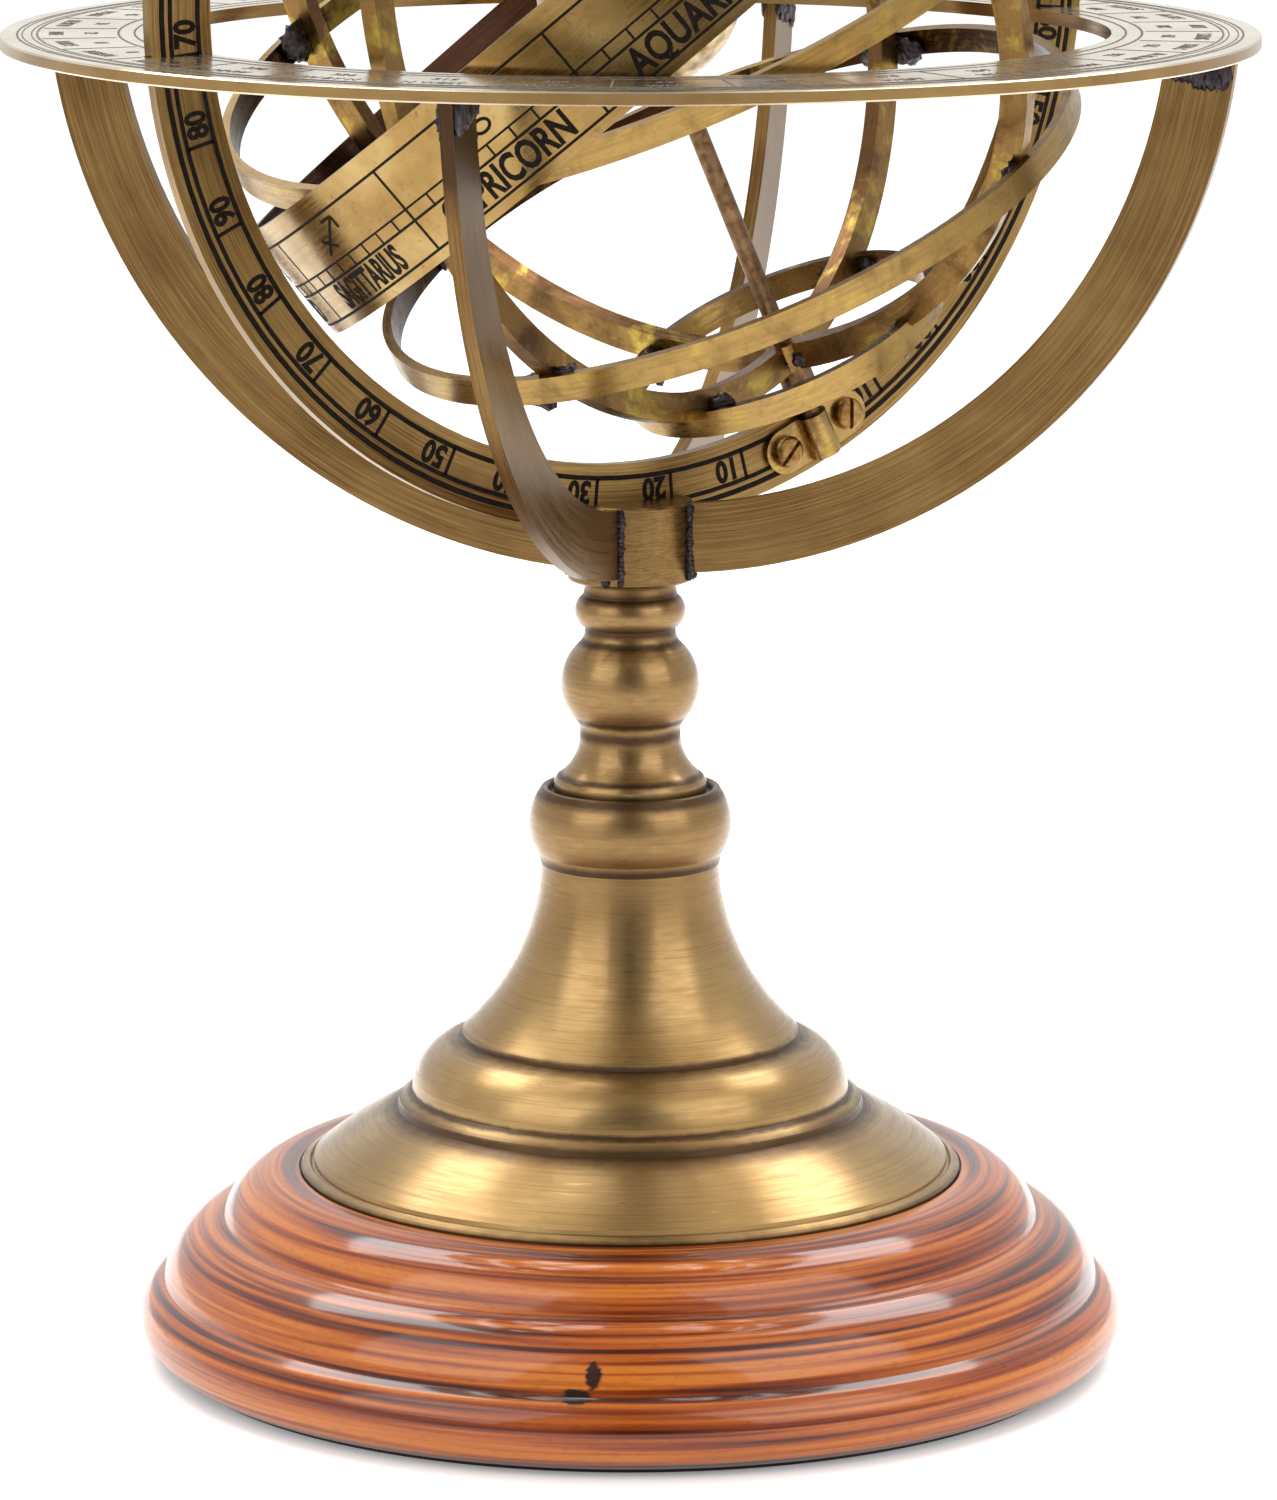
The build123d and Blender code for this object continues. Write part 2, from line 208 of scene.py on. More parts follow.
class Paint(Tree):
    """The nodes of a material."""

    def __init__(self, name, **constants):
        self.material = bpy.data.materials.new(name)
        super().__init__(self.material)
        self.shader = self.nodes["Principled BSDF"]
        for socket, value in constants.items():
            self.shader.inputs[socket.replace("_", " ")].default_value = value
        self.position = self.nodes.new("ShaderNodeTexCoord").outputs["Object"]
        self.facing = self.position.node.outputs["Normal"]

    def within(self, matrix):
        """The position in a local frame."""
        node = self.nodes.new("ShaderNodeMapping")
        node.vector_type = "TEXTURE"
        self.put(self.position, node.inputs["Vector"])
        node.inputs["Location"].default_value = matrix.translation
        node.inputs["Rotation"].default_value = matrix.to_euler()
        return node.outputs[0]

    def round_axis(self, matrix, drift):
        """A (radius, height, east) vector and a fourth coordinate, west, for grain that draws
        streaks round the z axis; the more drift, the shorter the streaks."""
        x, y, z = self.split(self.within(matrix))
        radius = self.vector_calc("LENGTH", self.join(x, y, 0.0))
        east = self.calc("MULTIPLY", self.calc("DIVIDE", x, radius), drift)
        west = self.calc("MULTIPLY", self.calc("DIVIDE", y, radius), drift)
        return self.join(radius, z, east), west

    def grain(self, where, scale, detail=4.0, rough=0.55, twist=0.0):
        """Noise at a position, or at the pair that round_axis gives."""
        node = self.nodes.new("ShaderNodeTexNoise")
        if isinstance(where, tuple):
            node.noise_dimensions = "4D"
            self.put(where[1], node.inputs["W"])
            where = where[0]
        self.put(where, node.inputs["Vector"])
        for socket, value in (("Scale", scale), ("Detail", detail), ("Roughness", rough),
                              ("Distortion", twist)):
            node.inputs[socket].default_value = value
        return node.outputs[0]

    def outward(self, centre):
        """1 on a face that looks away from the centre, -1 on one that looks at it."""
        away = self.vector_calc("SUBTRACT", self.position, centre)
        away = self.vector_calc("NORMALIZE", away)
        return self.vector_calc("DOT_PRODUCT", away, self.facing)

    def dents(self, height, depth, strength):
        """Bump, added to what is already there."""
        node = self.nodes.new("ShaderNodeBump")
        node.inputs["Strength"].default_value = strength
        node.inputs["Distance"].default_value = depth
        self.put(height, node.inputs["Height"])
        if self.shader.inputs["Normal"].is_linked:
            self.put(self.shader.inputs["Normal"].links[0].from_socket, node.inputs["Normal"])
        self.put(node.outputs[0], self.shader.inputs["Normal"])

    def finish(self, colour, roughness):
        """Set the colour and roughness; returns the material."""
        self.put(colour, self.shader.inputs["Base Color"])
        self.put(roughness, self.shader.inputs["Roughness"])
        return self.material


pale_gold = rgb(208, 186, 142)
gold = rgb(160, 130, 80)
brown_gold = rgb(134, 104, 62)
brown = rgb(104, 76, 50)
dark_brown = rgb(58, 38, 26)
purple_brown = rgb(84, 60, 48)
yellow = rgb(178, 154, 72)
satin = rgb(148, 120, 72)

# heights where the turned brass's painted shade starts and reaches full strength
trumpet_foot, trumpet_top = 60 * mm, 92 * mm
# the arm's top darkens from this far under the horizon ring, and is fully dark from this far up
top_dark_reach, top_dark_full = 26 * mm, 12 * mm
# place, stretch and size of the two dark knots in the wood, in mm
wood_knots = (((-50.8, -69.2, 17.6), (1, 1, 0.55), 1.2),
              ((-53.8, -68.3, 14.0), (0.6, 0.6, 1.1), 1.3))


def turned_brass(name, hollows):
    """Lathe-turned antique brass; hollows are (height, reach) of brown stains, in mm."""
    paint = Paint(name, Metallic=1.0, Anisotropic=0.7, Anisotropic_Rotation=0.25,
                  Coat_Weight=0.2, Coat_Roughness=0.22)
    lines = paint.round_axis(stand_axes, 0.004)
    streaks = paint.grain(lines, 1300, 3.0)
    clouds = paint.grain(paint.position, 45, 4.0)
    colour = paint.ramp(clouds, (0.3, rgb(146, 116, 72)), (0.7, rgb(172, 142, 94)))
    colour = paint.blend(paint.spread(streaks, 0.4, 0.75, 0.0, 0.3), colour, rgb(118, 88, 54))
    height = paint.split(paint.position)[2]
    wander = paint.spread(paint.grain(paint.position, 300), 0.3, 0.7, -0.15 * mm, 0.15 * mm)
    height = paint.calc("ADD", height, wander)
    stain = 0.0
    for hollow, reach in hollows:
        away = paint.calc("ABSOLUTE", paint.calc("SUBTRACT", height, hollow * mm))
        here = paint.spread(away, 0.25 * reach * mm, reach * mm, 0.85, 0.0)
        stain = paint.calc("MAXIMUM", stain, here)
    # painted shade: brown laid over the brass that deepens up the trumpet, where it takes the dim
    # front of the room; above the trumpet it stays full, as the collar's and column's browner tone
    shade_and_tone_veil = paint.spread(height, trumpet_foot, trumpet_top, 0.0, 0.42)
    colour = paint.blend(shade_and_tone_veil, colour, brown)
    rings = paint.grain(paint.round_axis(stand_axes, 0.0004), 3200, 2.0)
    colour = paint.blend(paint.spread(rings, 0.5, 0.7, 0.0, 0.35), colour, brown)
    colour = paint.blend(stain, colour, dark_brown)
    rough = paint.spread(streaks, 0.3, 0.7, 0.26, 0.38)
    rough = paint.calc("ADD", rough, paint.calc("MULTIPLY", stain, 0.25))
    tangent = paint.nodes.new("ShaderNodeTangent")
    tangent.axis = "Z"
    paint.put(tangent.outputs[0], paint.shader.inputs["Tangent"])
    paint.dents(streaks, 0.012 * mm, 0.25)
    paint.dents(paint.grain(paint.position, 1500, 2.0), 0.01 * mm, 0.2)
    return paint.finish(colour, rough)


def brushed_brass(name, matrix, tones, top_darkness=0.0):
    """Flat bar brass with fine scratches round an axis; the last argument darkens its top, just
    under the horizon ring.
    """
    low, middle, high = tones
    paint = Paint(name, Metallic=1.0)
    lines = paint.round_axis(matrix, 0.0012)
    streaks = paint.grain(lines, 3400, 3.0, 0.7)
    wide = paint.grain(lines, 260, 2.0)
    clouds = paint.grain(paint.position, 40, 5.0, 0.6)
    mixed = paint.weighted((wide, 0.1), (clouds, 0.35), (streaks, 0.55))
    colour = paint.ramp(mixed, (0.36, low), (0.5, middle), (0.64, high))
    scratches = paint.grain(lines, 5200, 2.0)
    colour = paint.blend(paint.spread(scratches, 0.56, 0.68, 0.0, 0.55), colour, satin)
    # darker towards the top of the arm, up to the horizon ring
    if top_darkness:
        uneven = paint.spread(clouds, 0.3, 0.7, -6 * mm, 6 * mm)
        height = paint.calc("ADD", paint.split(paint.position)[2], uneven)
        top_dark_mask = paint.spread(height, horizon_foot - top_dark_reach, horizon_foot - top_dark_full,
                             0.0, top_darkness)
        colour = paint.blend(top_dark_mask, colour, rgb(52, 36, 32))
    paint.dents(streaks, 0.03 * mm, 0.6)
    return paint.finish(colour, paint.spread(streaks, 0.3, 0.7, 0.24, 0.42))


def mottled_brass(name, matrix, outside, edge, inside, stain, blotch=90):
    """A hand-finished hoop with its own colour outside, on the edges and inside; stain is how
    strong its blotches are, and a higher blotch makes them smaller."""
    paint = Paint(name, Metallic=1.0)
    lines = paint.round_axis(matrix, 0.004)
    streaks = paint.grain(lines, 1600, 3.0)
    clouds = paint.grain(paint.position, blotch, detail=6.0, rough=0.65, twist=0.4)
    spots = paint.grain(paint.position, blotch * 4, 3.0, 0.6)
    side = paint.spread(paint.outward(cage_centre), -1.0, 1.0)
    colour = paint.ramp(side, (0.1, inside), (0.35, edge), (0.65, edge), (0.9, outside))
    tarnish = paint.spread(clouds, 0.5, 0.68, 0.0, stain)
    colour = paint.blend(tarnish, colour, rgb(76, 58, 38))
    bright = paint.spread(clouds, 0.44, 0.34, 0.0, stain)
    colour = paint.blend(bright, colour, yellow)
    colour = paint.blend(paint.spread(spots, 0.55, 0.75, 0.0, 0.6 * stain), colour, dark_brown)
    colour = paint.blend(paint.spread(streaks, 0.45, 0.75, 0.0, 0.35), colour, brown)
    paint.dents(streaks, 0.03 * mm, 0.5)
    paint.dents(spots, 0.06 * mm, 0.4)
    rough = paint.spread(streaks, 0.3, 0.7, 0.22, 0.36)
    rough = paint.calc("ADD", rough, paint.calc("MULTIPLY", tarnish, 0.2))
    return paint.finish(colour, rough)


def lacquered_wood(name):
    """Turned wood with dark streaks round it, under a gloss lacquer."""
    paint = Paint(name, Coat_Weight=0.85, Coat_Roughness=0.1, Specular_IOR_Level=0.1)
    lines = paint.round_axis(stand_axes, 0.0015)
    wide = paint.grain(lines, 110, 2.0, 0.5)
    fine = paint.grain(lines, 700, 2.0, 0.5)
    pores = paint.grain(paint.round_axis(stand_axes, 0.03), 1500, 2.0)
    mixed = paint.weighted((wide, 0.25), (fine, 0.75))
    colour = paint.ramp(mixed, (0.38, rgb(60, 23, 5)), (0.45, rgb(118, 50, 9)),
                        (0.5, rgb(150, 71, 15)), (0.6, rgb(182, 104, 40)))
    colour = paint.blend(paint.spread(pores, 0.55, 0.75, 0.0, 0.3), colour, rgb(70, 26, 6))
    foot = paint.spread(paint.split(paint.position)[2], 1.2 * mm, 3.2 * mm, 0.9, 0.0)
    colour = paint.blend(foot, colour, rgb(34, 8, 10))
    for spot, stretch, size in wood_knots:
        knot = paint.vector_calc("SUBTRACT", paint.position, Vector(spot) * mm)
        knot = paint.vector_calc("LENGTH", paint.vector_calc("MULTIPLY", knot, stretch))
        knot = paint.calc("ADD", knot, paint.spread(pores, 0.3, 0.7, -0.4 * mm, 0.4 * mm))
        inside = paint.spread(knot, size * mm, (size + 0.5) * mm, 0.95, 0.0)
        colour = paint.blend(inside, colour, rgb(14, 8, 6))
    paint.dents(mixed, 0.05 * mm, 0.25)
    return paint.finish(colour, paint.spread(fine, 0.3, 0.7, 0.3, 0.42))


def plain_metal(name, light, dark, rough, metallic=1.0, scale=500, depth=0.05 * mm):
    """Small fittings, solder and wax: a mottled colour with an uneven surface."""
    paint = Paint(name, Metallic=metallic)
    spots = paint.grain(paint.position, scale, 5.0, 0.6)
    fine = paint.grain(paint.position, scale * 4, 2.0)
    colour = paint.ramp(spots, (0.35, dark), (0.65, light))
    paint.dents(spots, depth, 0.7)
    return paint.finish(colour, paint.spread(fine, 0.3, 0.7, *rough))


def felt(name):
    """Dark red-brown felt."""
    paint = Paint(name, Sheen_Weight=0.4, Sheen_Roughness=0.5)
    fibres = paint.grain(paint.position, 2600, rough=0.7, twist=1.5)
    colour = paint.ramp(fibres, (0.3, rgb(24, 8, 10)), (0.7, rgb(62, 20, 24)))
    paint.dents(fibres, 0.2 * mm, 0.8)
    return paint.finish(colour, paint.spread(fibres, 0.3, 0.7, 0.85, 1.0))


def dress(material, *names):
    """Give CAD nodes a material."""
    for name in names:
        mesh = nodes[name].data
        mesh.materials.clear()
        mesh.materials.append(material)


# (height, reach) of the brown stains in the turned hollows, in mm
bell_hollows = ((34.6, 1.2), (46.6, 2.2), (49.2, 0.9), (59.6, 1.4))
column_hollows = ((92.4, 1.6), (105.6, 1.6), (108.6, 0.7), (116.4, 1.6), (119.0, 0.9),
                  (133.6, 1.0), (136.0, 1.6), (142.3, 1.4), (145.0, 1.0))
dress(felt("felt"), "felt_pad")
dress(lacquered_wood("lacquered_wood"), "wooden_base")
dress(turned_brass("spun_brass", bell_hollows), "bell_foot")
dress(turned_brass("turned_brass", column_hollows), "collar", "baluster_column")
dress(plain_metal("zinc_plate", rgb(190, 190, 188), rgb(140, 142, 146), (0.25, 0.45)),
      "tie_rod", "tie_washer", "tie_nut")
arm_tones = (rgb(86, 64, 40), rgb(112, 87, 55), rgb(136, 110, 70))
meridian_tones = (rgb(88, 66, 40), rgb(126, 100, 62), rgb(158, 130, 84))
for name, bearing in arm_bearings.items():
    # only the front arm gets the darker top
    top_darkness = 0.85 if name == "arm_front" else 0.0
    dress(brushed_brass(f"{name}_brass", arm_axes(bearing), arm_tones, top_darkness), name)
dress(brushed_brass("hub_brass", stand_axes, arm_tones), "arm_hub")
dress(brushed_brass("meridian_brass", meridian_axes, meridian_tones), "meridian_ring")
for name in ("lower_pole_strap", "upper_pole_strap"):
    dress(mottled_brass(f"{name}_brass", meridian_axes, gold, gold, brown, 0.7), name)
dress(plain_metal("screw_brass", gold, rgb(110, 70, 34), (0.25, 0.45)),
      "lower_strap_screws", "upper_strap_screws")
for name in ("polar_axis_rod", "lower_pole_spacer", "upper_pole_spacer"):
    dress(plain_metal(f"{name}_brass", rgb(128, 102, 74), rgb(88, 64, 46), (0.3, 0.45)), name)
dress(plain_metal("ball_brass", pale_gold, brown_gold, (0.25, 0.45), scale=380, depth=0.25 * mm),
      "earth_ball")
for name in hoops:
    dress(mottled_brass(f"{name}_brass", celestial_axes, satin, gold, dark_brown, 0.45), name)
for name, side in (("solstitial", equinox), ("equinoctial", solstice)):
    ring_axes = axes(cage_centre, north, side)
    dress(mottled_brass(f"{name}_brass", ring_axes, brown_gold, brown_gold, brown, 0.95, 70),
          f"{name}_colure")


def zodiac_brass():
    """Pale mottled brass outside the zodiac band, purple-brown inside it."""
    paint = Paint("zodiac_brass", Metallic=1.0)
    clouds = paint.grain(paint.position, 60, 6.0, 0.6)
    lines = paint.grain(paint.round_axis(ecliptic_axes, 0.003), 1500, 3.0)
    outside = paint.ramp(clouds, (0.3, rgb(128, 100, 58)), (0.5, rgb(150, 122, 76)),
                         (0.7, rgb(170, 146, 98)))
    side = paint.spread(paint.outward(cage_centre), 0.0, 0.5)
    colour = paint.blend(side, purple_brown, outside)
    specks = paint.spread(paint.grain(paint.position, 700, 3.0), 0.62, 0.72, 0.0, 0.5)
    colour = paint.blend(specks, colour, brown)
    paint.dents(lines, 0.02 * mm, 0.4)
    return paint.finish(colour, paint.spread(lines, 0.3, 0.7, 0.2, 0.34))


def horizon_brass():
    """Silvery brass on the horizon's flat faces, darker brass on its rim."""
    paint = Paint("horizon_brass", Metallic=1.0)
    lines = paint.grain(paint.round_axis(horizon_axes, 0.003), 1800, 3.0)
    clouds = paint.grain(paint.position, 60, 5.0, 0.6)
    face = paint.ramp(clouds, (0.3, rgb(206, 194, 166)), (0.6, rgb(226, 218, 200)))
    level = paint.spread(paint.calc("ABSOLUTE", paint.split(paint.facing)[2]), 0.3, 0.9)
    rim = paint.blend(clouds, rgb(116, 88, 56), rgb(172, 142, 92))
    colour = paint.blend(level, rim, face)
    paint.dents(lines, 0.01 * mm, 0.3)
    return paint.finish(colour, paint.spread(lines, 0.3, 0.7, 0.16, 0.28))


dress(zodiac_brass(), "zodiac_band")
dress(horizon_brass(), "horizon_ring")
wax = plain_metal("engraving_wax", rgb(34, 24, 18), rgb(10, 6, 4), rough=(0.6, 0.85),
                  metallic=0.0, scale=900, depth=0.03 * mm)
wax.node_tree.nodes["Principled BSDF"].inputs["Specular IOR Level"].default_value = 0.15
solder_metal = plain_metal("dark_solder", rgb(66, 56, 60), rgb(14, 11, 12), rough=(0.22, 0.5),
                           metallic=0.6, scale=420, depth=0.3 * mm)
dress(solder_metal, "band_joints")
card_wax = plain_metal("card_wax", rgb(112, 102, 92), rgb(64, 56, 50), rough=(0.6, 0.85),
                       metallic=0.0, scale=900, depth=0.02 * mm)


def add_piece(name, mesh, body, material):
    """Link a mesh as a piece that rides on a body."""
    mesh.materials.clear()
    mesh.materials.append(material)
    piece = bpy.data.objects.new(name, mesh)
    bpy.context.scene.collection.objects.link(piece)
    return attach(piece, body)


# ---- engraving -----------------------------------------------------------------

def flat_word(text, bold=0.0):
    """A word's flat mesh, centred on x = 0; bold thickens its strokes."""
    curve = bpy.data.curves.new("word", "FONT")
    curve.body = text
    curve.align_x = "CENTER"
    curve.resolution_u = 3
    curve.offset = bold
    carrier = bpy.data.objects.new("word", curve)
    mesh = bpy.data.meshes.new_from_object(carrier)
    bpy.data.objects.remove(carrier)
    return mesh


capital_height = max(vertex.co.y for vertex in flat_word("H").vertices)


def polar(radius, angle):
    """The flat point at a radius and an angle in degrees."""
    return Vector((radius * cos(radians(angle)), radius * sin(radians(angle))))


def arc(centre, radius, start, end, step=20):
    """Points along an arc from one angle to another, about a step apart, in degrees."""
    count = max(2, round(abs(end - start) / step))
    return [Vector(centre) + polar(radius, start + (end - start) * i / count)
            for i in range(count + 1)]


proud = 0.05 * mm
wax_depth = 0.12 * mm


class Engraving:
    """Wax-filled lines, drawn flat and then laid on a surface."""

    def __init__(self):
        self.points = []
        self.faces = []

    def stroke(self, path, width):
        """A line of even width along a path."""
        path = [Vector(point) for point in path]
        start = len(self.points)
        for i, point in enumerate(path):
            along = path[min(i + 1, len(path) - 1)] - path[max(i - 1, 0)]
            side = Vector((-along.y, along.x)).normalized() * width / 2
            self.points += [point + side, point - side]
        self.faces += [(start + 2 * i, start + 2 * i + 1, start + 2 * i + 3, start + 2 * i + 2)
                       for i in range(len(path) - 1)]

    def word(self, text, height, squeeze, bold, place):
        """A word in capitals; place takes the word's own (x, y) to the flat drawing."""
        mesh = flat_word(text, bold)
        start = len(self.points)
        scale = height / capital_height
        self.points += [place(v.co.x * scale * squeeze, v.co.y * scale) for v in mesh.vertices]
        self.faces += [tuple(start + i for i in face.vertices) for face in mesh.polygons]

    def lay(self, name, body, surface, filling=wax):
        """Make the piece; surface takes the flat drawing's (x, y) to a point in space."""
        mesh = bpy.data.meshes.new(name)
        mesh.from_pydata([surface(*point) for point in self.points], [], self.faces)
        piece = add_piece(name, mesh, body, filling)
        solid = piece.modifiers.new("depth", "SOLIDIFY")
        solid.thickness = wax_depth
        solid.offset = -1


def eased(path, longest=1.5 * mm):
    """The same path with its long runs divided, so that it can bend."""
    points = [path[0]]
    for one, other in zip(path, path[1:]):
        count = ceil((other - one).length / longest)
        points += [one.lerp(other, (i + 1) / count) for i in range(count)]
    return points


def round_word(engraving, text, height, squeeze, bold, radius, angle, inward=False):
    """A word set round a circle, its foot on the radius and its top outward or inward."""
    way = 1 if inward else -1

    def place(x, y):
        return polar(radius - way * y, angle + way * degrees(x / radius))

    engraving.word(text, height, squeeze, bold, place)


# the meridian's degree scale counts from each pole, clockwise
meridian_circles = ((96.85, 1.0), (95.2, 0.85), (89.75, 0.9))  # radius and line width in mm
tick_inner, tick_outer, tick_width = 89.9 * mm, 95.1 * mm, 0.7 * mm
digit_foot, digit_height, digit_squeeze, digit_bold = 90.5 * mm, 3.9 * mm, 0.85, 0.04
digit_gap, digit_half_width, digit_middle = 0.9, 1.4, 92.4  # mm, the last a radius
scale = Engraving()
for radius, width in meridian_circles:
    scale.stroke(arc((0, 0), radius * mm, 0, 360, 3), width * mm)
for step in range(36):
    tick = -90 - 10 * step
    scale.stroke([polar(tick_inner, tick), polar(tick_outer, tick)], tick_width)
    number = str(90 - abs(90 - step * 10 % 180))
    offset = degrees((digit_gap + digit_half_width * len(number)) / digit_middle)
    round_word(scale, number, digit_height, digit_squeeze, digit_bold, digit_foot, tick - offset)
scale.lay("meridian_scale", "meridian",
          lambda x, y: meridian_axes @ Vector((x, y, meridian_face + proud)))

# the horizon's compass card: 32 points and their degrees; north lies under the upper pole
card_circles = ((89.6, 0.4), (92.5, 0.45), (107.1, 0.4), (108.1, 0.25), (109.8, 0.25),
                (110.7, 0.4))  # radius and line width in mm
compass_points = ("NORTH", "N BY E", "NNE", "NE BY N", "N EAST", "NE BY E", "ENE", "E BY N",
                  "EAST", "E BY S", "ESE", "SE BY E", "S EAST", "SE BY S", "SSE", "S BY E",
                  "SOUTH", "S BY W", "SSW", "SW BY S", "S WEST", "SW BY W", "WSW", "W BY S",
                  "WEST", "W BY N", "WNW", "NW BY W", "N WEST", "NW BY N", "NNW", "N BY W")
cell_foot, cell_foot_at_slot, cell_top = 93.2 * mm, 100.2 * mm, 106.6 * mm
cell_line_width = 0.35 * mm
point_radius, point_height = 105.0 * mm, 2.7 * mm
degree_radius, degree_height = 98.6 * mm, 2.5 * mm
cell_angle, cell_middle = 11.25, 5.6
card = Engraving()
for radius, width in card_circles:
    radius *= mm
    gap = degrees(asin(horizon_slot_half_width / radius)) if radius < horizon_slot_end else 0
    for start in (0, 180):
        card.stroke(arc((0, 0), radius, start + gap, start + 180 - gap, 3), width * mm)
for step, point in enumerate(compass_points):
    line = 180 - cell_angle * step
    foot = cell_foot_at_slot if step % 16 == 0 else cell_foot
    card.stroke([polar(foot, line), polar(cell_top, line)], cell_line_width)
    round_word(card, point, point_height, 0.8, 0, point_radius, line - cell_middle, True)
    round_word(card, f"{cell_angle * step:.0f}", degree_height, 0.9, 0, degree_radius,
               line - cell_middle, True)
card.lay("horizon_compass_card", "stand", lambda x, y: horizon_axes @ Vector((x, y, proud)),
         card_wax)

# zodiac band: a row of signs, a row of small bricks and a row of names
sign_names = ("ARIES", "TAURUS", "GEMINI", "CANCER", "LEO", "VIRGO", "LIBRA", "SCORPIO",
              "SAGITTARIUS", "CAPRICORN", "AQUARIUS", "PISCES")
# the signs' strokes, about 2 units wide and high round (0, 0)
m_strokes = [[(-0.8, 0.7), (-0.6, 0.85), (-0.5, 0.6), (-0.5, -0.6)],
             arc((-0.25, 0.55), 0.25, 180, 0) + [Vector((0, -0.6))],
             arc((0.25, 0.55), 0.25, 180, 0)]
glyphs = (
    [[(0, -0.9), (0, 0.35)], arc((-0.4, 0.35), 0.4, 0, 230), arc((0.4, 0.35), 0.4, 180, -50)],
    [arc((0, -0.35), 0.5, 0, 360), arc((0, 0.85), 0.7, 190, 350)],
    [arc((0, 1.7), 1.1, 230, 310), arc((0, -1.7), 1.1, 130, 50),
     [(-0.3, -0.65), (-0.3, 0.65)], [(0.3, -0.65), (0.3, 0.65)]],
    [arc((-0.5, 0.2), 0.22, 0, 360), arc((0.5, -0.2), 0.22, 0, 360),
     arc((0, -0.35), 0.95, 130, 40), arc((0, 0.35), 0.95, -50, -140)],
    [arc((-0.45, -0.15), 0.27, 0, 360), arc((0, 0.4), 0.45, 230, -30), [(0.39, 0.17), (0.2, -0.5)],
     arc((0.45, -0.55), 0.25, 170, 330)],
    m_strokes + [[(0.5, 0.55), (0.5, -0.6), (0.75, -0.85)],
                 arc((0.55, 0.15), 0.3, 90, -90) + [Vector((0.2, -0.8))]],
    [[(-0.8, -0.65), (0.8, -0.65)], [(-0.8, -0.25), (-0.3, -0.25)], [(0.3, -0.25), (0.8, -0.25)],
     arc((0, 0.15), 0.5, 233, -53)],
    m_strokes + [[(0.5, 0.55), (0.5, -0.5)], arc((0.75, -0.5), 0.25, 180, 330),
                 [(0.8, -0.35), (0.98, -0.6)]],
    [[(-0.75, -0.75), (0.75, 0.75)], [(0.1, 0.75), (0.75, 0.75)], [(0.75, 0.75), (0.75, 0.1)],
     [(-0.6, 0.0), (0.0, -0.6)]],
    [[(-0.85, 0.75), (-0.55, 0.5), (-0.5, -0.3)],
     arc((-0.2, 0.4), 0.3, 180, 10) + [Vector((0.1, -0.4))],
     arc((0.4, -0.35), 0.3, 180, -180), arc((-0.2, -0.4), 0.3, 0, -100)],
    [[(-0.9, 0.15), (-0.5, 0.45), (-0.25, 0.15), (0.1, 0.45), (0.35, 0.15), (0.8, 0.45)],
     [(-0.9, -0.4), (-0.5, -0.1), (-0.25, -0.4), (0.1, -0.1), (0.35, -0.4), (0.8, -0.1)]],
    [arc((-1.15, 0), 0.85, 60, -60), arc((1.15, 0), 0.85, 120, 240), [(-0.6, 0), (0.6, 0)]],
)
degree = radians(1) * zodiac_radius
capricorn, capricorn_start = 9, 89
first_division = capricorn_start - 30 * capricorn
upper_line, brick_top, brick_foot, lower_line = 7.85 * mm, -0.75 * mm, -3.25 * mm, -9.75 * mm
line_width, thin_line_width, glyph_line_width = 0.5 * mm, 0.4 * mm, 0.6 * mm
bricks_in_sign, brick_angle, brick_shift = 8, 3.75, 0.5
glyph_half_width, glyph_half_height, glyph_level = 5.8 * mm, 3.8 * mm, 3.55 * mm
name_height, name_foot, name_bold = 4.9 * mm, -8.9 * mm, 0.03
name_squeeze, long_name_squeeze, longest_plain_name = 0.77, 0.6, 10
band = Engraving()
for level, width in ((upper_line, line_width), (brick_top, thin_line_width),
                     (brick_foot, line_width), (lower_line, line_width)):
    band.stroke([(degree * turn, level) for turn in range(0, 361, 3)], width)
for sign, name in enumerate(sign_names):
    start = (first_division + 30 * sign) * degree
    middle = start + 15 * degree
    band.stroke([(start, lower_line), (start, upper_line)], line_width)
    for brick in range(1, bricks_in_sign):
        place = start + (brick_angle * brick + brick_shift) * degree
        band.stroke([(place, brick_foot), (place, brick_top)], thin_line_width)
    for path in glyphs[sign]:
        drawn = [Vector((middle + x * glyph_half_width, glyph_level + y * glyph_half_height))
                 for x, y in path]
        band.stroke(eased(drawn), glyph_line_width)
    squeeze = long_name_squeeze if len(name) > longest_plain_name else name_squeeze
    band.word(name, name_height, squeeze, name_bold, lambda x, y: (middle + x, name_foot + y))


def on_band(along, height):
    """Wraps the flat drawing round the band."""
    turned = polar(zodiac_radius + proud, degrees(along / zodiac_radius))
    return ecliptic_axes @ Vector((turned.x, turned.y, height))


band.lay("zodiac_engraving", "celestial_cage", on_band)


# ---- solder ----------------------------------------------------------------------

def lump(target, centre, radii, turned=Matrix.Identity(3), rough=0.35, seed=0):
    """Add one uneven lump to a bmesh: a closed ball, swollen by noise."""
    made = bmesh.ops.create_icosphere(target, subdivisions=3, radius=1)["verts"]
    shift = Vector((seed * 3.7, seed * 1.9, seed * 5.3))
    for vertex in made:
        swell = 1 + rough * noise.fractal(vertex.co * 1.7 + shift, 0.6, 2.0, 4)
        vertex.co = centre + turned @ (vertex.co * swell * Vector(radii))


def bead(target, start, end, radius, seed):
    """A run of solder along a corner: overlapping lumps of changing size."""
    length = (end - start).length
    count = max(3, round(length / (1.1 * radius)))
    for i in range(count):
        at = start.lerp(end, (i + 0.5) / count)
        size = radius * random.uniform(0.65, 1.15)
        lump(target, at, (size, size, size * 1.1), seed=seed + i * 0.37)


